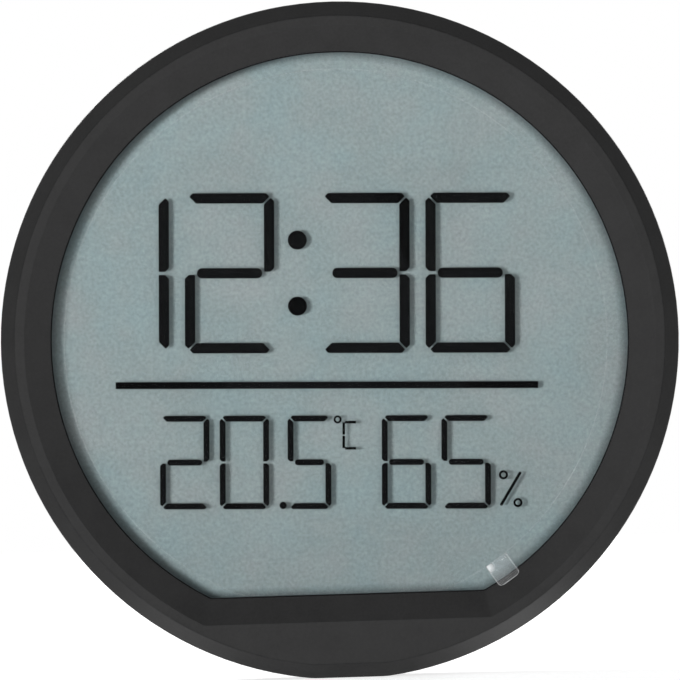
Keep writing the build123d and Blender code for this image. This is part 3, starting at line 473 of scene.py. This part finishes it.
def paint_display():
    paint("lip_gasket", surface(
        "gasket_foam", colour=(0.012, 0.012, 0.013), roughness=0.95, spread=0.3, grain=3000.0,
        relief=0.030, strength=0.8, specular=0.1))
    paint("front_polariser", clear_layer(
        "polariser_sheet", tint=(0.985, 0.99, 0.985), haze=0.0, index=1.04))
    for node in ("front_glass", "rear_glass"):
        paint(node, clear_layer(f"{node}_sheet", tint=(0.99, 0.995, 0.99), haze=0.0, index=1.02))
    paint("lcd_segments", surface(
        "dark_cells", colour=(0.0024, 0.0027, 0.0032), roughness=0.8, spread=0.35,
        grain=1500.0, blotch=400.0, relief=0.002, specular=0.05))
    paint("cell_seal", surface("seal_epoxy", colour=(0.11, 0.12, 0.115), roughness=0.6))
    paint("reflector", reflector_film())
    for name in ("front_polariser", "front_glass", "rear_glass"):
        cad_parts[name].visible_shadow = False
        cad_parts[name].visible_diffuse = False
    # The rear glass is bonded face to face with the reflector, so the camera looks past it
    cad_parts["rear_glass"].visible_camera = False


def paint_metal():
    steel = surface("screw_steel", colour=(0.12, 0.12, 0.125), roughness=0.38, spread=0.1,
                    grain=1200.0, blotch=300.0, metallic=1.0)
    for name in ("carrier_screws", "board_screws", "case_screws"):
        paint(name, steel)
    nickel = surface("contact_nickel", colour=(0.66, 0.63, 0.57), roughness=0.28, spread=0.1,
                     grain=600.0, blotch=250.0, metallic=1.0)
    for name in ("contact_bridge", "contact_plus", "contact_minus"):
        paint(name, nickel)
    paint("quartz_crystal", surface(
        "crystal_can", colour=grey(0.6), roughness=0.25, metallic=1.0))


def paint_inside():
    paint("display_carrier", surface(
        "carrier_plastic", colour=(0.34, 0.33, 0.30), roughness=0.5, spread=0.05))
    paint("main_board", board_laminate())
    paint("chip_blob", surface(
        "blob_resin", colour=(0.01, 0.01, 0.011), roughness=0.22, grain=500.0, coat=0.4))
    paint("temperature_sensor", surface(
        "bead_epoxy", colour=(0.02, 0.018, 0.016), roughness=0.3, coat=0.3))
    paint("humidity_sensor", surface(
        "sensor_shell", colour=(0.55, 0.56, 0.56), roughness=0.5, spread=0.05))
    paint("lead_plus", surface(
        "lead_red", colour=(0.4, 0.012, 0.012), roughness=0.45, spread=0.1))
    paint("lead_minus", surface("lead_black", colour=grey(0.015), roughness=0.45, spread=0.2))
    paint("switch_bodies", banded(
        "switch_shell", axis="Y", limits=(-16.0, -12.0), roughness=0.45,
        bands=[(0.0, grey(0.02)), (0.6, (0.5, 0.5, 0.48))]))
    paint("capacitor", banded(
        "capacitor_sleeve", axis="X", limits=(-17.5, -12.5), roughness=0.35,
        bands=[(0.0, (0.35, 0.36, 0.38)), (0.2, (0.02, 0.018, 0.05))]))
    solder = (0.6, 0.6, 0.58)
    paint("chip_resistors", banded(
        "resistor_body", axis="Z", limits=(-39.0, -37.0), roughness=0.4,
        bands=[(0.0, solder), (0.22, grey(0.015)), (0.78, solder)]))
    rubber, conductor = grey(0.02), (0.25, 0.25, 0.24)
    paint("zebra_strip", banded(
        "zebra_rubber", axis="Y", limits=(-20.5, -17.0), roughness=0.7,
        bands=[(0.0, rubber), (0.3, conductor), (0.4, rubber), (0.6, conductor), (0.7, rubber)]))
    jacket = [(0.0, (0.55, 0.54, 0.5)), (0.03, (0.016, 0.016, 0.018)),
              (0.72, (0.42, 0.2, 0.07)), (0.95, (0.6, 0.58, 0.52))]
    for name, plus_end in (("upper", 22.2), ("lower", -22.2)):
        paint(f"battery_{name}", banded(
            f"cell_jacket_{name}", axis="X", limits=(-plus_end, plus_end), roughness=0.3,
            bands=jacket))


# Protective film with its pull tab, in place of its CAD sheet
def tab_point(along, across):
    """A point of the tab: along from its root over the lip, across from its middle, in mm."""
    share = min(1.0, max(0.0, along / TAB_REACH))
    slope = radians(TAB_RISE)
    lift = tan(slope) * TAB_REACH * (share ** TAB_LIFT_POWER) * TAB_LIFT_SHARE
    curl = TAB_CURL * (across / (TAB_WIDTH / 2)) ** 2 * share
    out = FILM_RADIUS - TAB_ROOT_LAP + along * cos(slope)
    turn = radians(TAB_ANGLE)
    x = -FILM_SHIFT + out * cos(turn) - across * sin(turn)
    z = -out * sin(turn) - across * cos(turn)
    height = DISPLAY_FRONT + SHEET_HEIGHT + lift + curl
    return Vector((x * MM, -height * MM, z * MM))


def paint_crease_highlight(tree):
    """Painted highlight: white haze on the sheet where the tab is creased at the left end of its
    root.
    """
    corner = tab_point(HIGHLIGHT_ALONG, HIGHLIGHT_ACROSS)
    offset = add_vector_math(tree, "SUBTRACT", object_place(tree), (corner.x, 0, corner.z))
    painted_highlight = add_range(tree, front_length(tree, offset), HIGHLIGHT_HAZE, 0.0,
                       HIGHLIGHT_INNER * MM, HIGHLIGHT_OUTER * MM)
    share = tree.nodes["veil"].inputs["Fac"]
    haze = share.links[0].from_socket
    tree.links.new(add_math(tree, "MAXIMUM", haze, painted_highlight), share)


def film_materials():
    """The film's four materials, in the order of their slots."""
    disc = clear_layer("film_sheet", tint=(0.985, 0.99, 0.99), haze=0.0015, index=1.07, wave=45.0)
    tab = clear_layer("film_tab", tint=(0.95, 0.955, 0.975), haze=0.075, index=1.35, wave=260.0)
    # Painted highlight at the left end of the tab's root
    paint_crease_highlight(tab.node_tree)
    rim = clear_layer("film_rim", tint=grey(0.97), haze=0.08, index=1.15, wave=70.0)
    border = clear_layer("film_tab_border", tint=grey(0.95), haze=0.27, index=1.35, wave=300.0)
    return disc, tab, rim, border


def add_film_disc(mesh):
    height = -(DISPLAY_FRONT + SHEET_HEIGHT) * MM
    outline = []
    for step in range(FILM_STEPS):
        angle = 2 * pi * step / FILM_STEPS
        outline.append((FILM_RADIUS * cos(angle), max(FILM_RADIUS * sin(angle), -FILM_CHORD)))
    rings = []
    for share in (1, 1 - SHEET_RIM / FILM_RADIUS):
        rings.append([
            mesh.verts.new(((x * share - FILM_SHIFT) * MM, height, z * share * MM))
            for x, z in outline
        ])
    outer, inner = rings
    mesh.faces.new(inner).material_index = DISC_SLOT
    for step in range(FILM_STEPS):
        after = (step + 1) % FILM_STEPS
        face = mesh.faces.new((outer[step], outer[after], inner[after], inner[step]))
        face.material_index = RIM_SLOT


def tab_half_width(room):
    """Half the tab's width, which is less at the rounded corners, with that room to its end."""
    half = TAB_WIDTH / 2
    if room >= TAB_CORNER:
        return half
    return half - TAB_CORNER + sqrt(max(0.0, TAB_CORNER ** 2 - (TAB_CORNER - room) ** 2))


def add_film_tab(mesh):
    """The tab's grid, whose outermost strips are the narrow bright border."""
    shares = [-1 + 2 * column / TAB_COLUMNS for column in range(TAB_COLUMNS + 1)]
    shares[1] = -1 + SHEET_RIM / (TAB_WIDTH / 2)
    shares[-2] = -shares[1]
    grid = []
    for row in range(TAB_ROWS + 1):
        along = TAB_REACH * row / TAB_ROWS
        width = tab_half_width(TAB_REACH - along)
        grid.append([mesh.verts.new(tab_point(along, share * width)) for share in shares])
    for row in range(TAB_ROWS):
        for column in range(TAB_COLUMNS):
            face = mesh.faces.new((
                grid[row][column], grid[row][column + 1],
                grid[row + 1][column + 1], grid[row + 1][column],
            ))
            edge = column in (0, TAB_COLUMNS - 1) or row == TAB_ROWS - 1
            face.material_index = BORDER_SLOT if edge else TAB_SLOT


def build_film():
    mesh = bmesh.new()
    add_film_disc(mesh)
    add_film_tab(mesh)
    for face in mesh.faces:
        face.smooth = True
    film = link_mesh("clear_film", mesh)
    for material in film_materials():
        film.data.materials.append(material)
    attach(film, "case")
    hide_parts("screen_film")
    film.visible_shadow = False
    film.visible_diffuse = False


def circle_point(middle, radius, angle):
    return (middle[0] + radius * cos(angle), middle[1] + radius * sin(angle))


def mark_outline(kind):
    """The strokes of a mark as closed outlines, in mm: triangle, three bars, or ring and C."""
    if kind == "up":
        return [[(-MARK_HALF, -TRIANGLE_FOOT), (MARK_HALF, -TRIANGLE_FOOT), (0, TRIANGLE_TIP)]]
    if kind == "down":
        return [[(MARK_HALF, TRIANGLE_FOOT), (-MARK_HALF, TRIANGLE_FOOT), (0, -TRIANGLE_TIP)]]
    if kind == "set":
        return [[(-MARK_HALF, level - BAR_HALF), (MARK_HALF, level - BAR_HALF),
                 (MARK_HALF, level + BAR_HALF), (-MARK_HALF, level + BAR_HALF)]
                for level in BAR_LEVELS]
    ring = [circle_point(RING_MIDDLE, RING_RADIUS, 2 * pi * step / RING_STEPS)
            for step in range(RING_STEPS)]
    angles = [radians(ARC_START + ARC_SWEEP * step / ARC_STEPS) for step in range(ARC_STEPS + 1)]
    arc = [circle_point(ARC_MIDDLE, ARC_OUTER, angle) for angle in angles]
    arc += [circle_point(ARC_MIDDLE, ARC_INNER, angle) for angle in reversed(angles)]
    return [ring, arc]


def build_marks():
    mark_paint = surface("mark_paint", colour=(0.5, 0.5, 0.49), roughness=0.6, spread=0.08,
                         grain=3000.0)
    for name, place in BUTTON_PLACES.items():
        mesh = bmesh.new()
        for outline in mark_outline(name):
            low, high = [], []
            for x, z in outline:
                spot_x = (place - x) * MM
                spot_z = (BUTTON_LEVEL + z) * MM
                low.append(mesh.verts.new((spot_x, -(BUTTON_RECESS + MARK_ROOT) * MM, spot_z)))
                high.append(mesh.verts.new((spot_x, -(BUTTON_RECESS - MARK_PROUD) * MM, spot_z)))
            mesh.faces.new(high)
            mesh.faces.new(list(reversed(low)))
            for step in range(len(outline)):
                after = (step + 1) % len(outline)
                mesh.faces.new((low[step], low[after], high[after], high[step]))
        bmesh.ops.recalc_face_normals(mesh, faces=mesh.faces)
        mark = link_mesh(f"mark_{name}", mesh)
        mark.data.materials.append(mark_paint)
        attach(mark, f"key_{name}")


# Floor, lamps and world
def white_for_camera(tree):
    """1 where the camera, a reflection or a view through glass sees the surface."""
    path = tree.nodes.new("ShaderNodeLightPath")
    total = path.outputs["Is Camera Ray"]
    for name in ("Is Glossy Ray", "Is Transmission Ray"):
        total = add_math(tree, "MAXIMUM", total, path.outputs[name])
    return total


def build_floor():
    mesh = bmesh.new()
    bmesh.ops.create_grid(mesh, x_segments=FLOOR_SEGMENTS, y_segments=FLOOR_SEGMENTS,
                          size=FLOOR_HALF)
    floor = link_mesh("floor", mesh)
    lowest_corner = cad_bounds[0]
    floor.location = (0, 0, lowest_corner[2] - FLOOR_GAP)
    material, tree, shader = new_material("floor_paint")
    stops = [(NOISE_LOW, grey(0.8)), (NOISE_HIGH, grey(0.82))]
    colour = add_ramp(tree, add_noise(tree, scale=30.0), stops)
    tree.links.new(colour, shader.inputs["Base Color"])
    shader.inputs["Roughness"].default_value = 0.9
    shader.inputs["Specular IOR Level"].default_value = 0.0
    shader.inputs["Emission Color"].default_value = (1, 1, 1, 1)
    lift = add_math(tree, "MULTIPLY", white_for_camera(tree), FLOOR_LIFT)
    tree.links.new(lift, shader.inputs["Emission Strength"])
    floor.data.materials.append(material)
    # Some lamps stand lower than the floor, so the floor casts no shadow of its own
    floor.visible_shadow = False


def add_lamp(name, azimuth, elevation, distance, size, level):
    """A square lamp, azimuth 0 in front and 90 at the right, level its share on a facing wall."""
    data = bpy.data.lights.new(name, "AREA")
    data.shape = "SQUARE"
    data.size = size
    data.energy = level * pi * pi * distance * distance
    lamp = bpy.data.objects.new(name, data)
    bpy.context.scene.collection.objects.link(lamp)
    turn, rise = radians(azimuth), radians(elevation)
    place = Vector((sin(turn) * cos(rise), -cos(turn) * cos(rise), sin(rise))) * distance
    lamp.location = place
    lamp.rotation_euler = place.to_track_quat("Z", "Y").to_euler()
    return lamp


def light_scene():
    key = add_lamp("key", azimuth=-39, elevation=-2, distance=1.6, size=0.50, level=0.74)
    # The matte plastic in the photo shows no highlight of the key lamp
    key.visible_glossy = False
    add_lamp("fill", azimuth=28, elevation=-4, distance=1.8, size=0.9, level=0.18)
    # The matte rim mirrors three soft lamps that stand round the camera
    for name, azimuth, elevation in (("upper", -14, 6), ("left", -14, -13), ("right", 14, -13)):
        sheen = add_lamp(f"sheen_{name}", azimuth, elevation, distance=2.2, size=0.45, level=0.21)
        sheen.visible_diffuse = False
    add_lamp("low_left", azimuth=-74, elevation=-59, distance=1.2, size=0.22, level=0.27)
    add_lamp("low_right", azimuth=74, elevation=-59, distance=1.2, size=0.22, level=0.50)
    add_lamp("back_left", azimuth=-150, elevation=30, distance=1.8, size=0.5, level=0.55)
    add_lamp("back_right", azimuth=140, elevation=18, distance=1.8, size=0.6, level=0.30)


def light_world():
    world = bpy.data.worlds.new("world")
    bpy.context.scene.world = world
    world.use_nodes = True
    tree = world.node_tree
    background = tree.nodes["Background"]
    background.inputs["Color"].default_value = (1, 1, 1, 1)
    level = add_range(tree, white_for_camera(tree), low=WORLD_LEVEL, high=1.0,
                      source_low=0.0, source_high=1.0)
    tree.links.new(level, background.inputs["Strength"])


place_camera()
paint_case()
paint_display()
paint_metal()
paint_inside()
build_film()
build_marks()
build_floor()
light_scene()
light_world()
bpy.context.scene.view_settings.view_transform = "Standard"
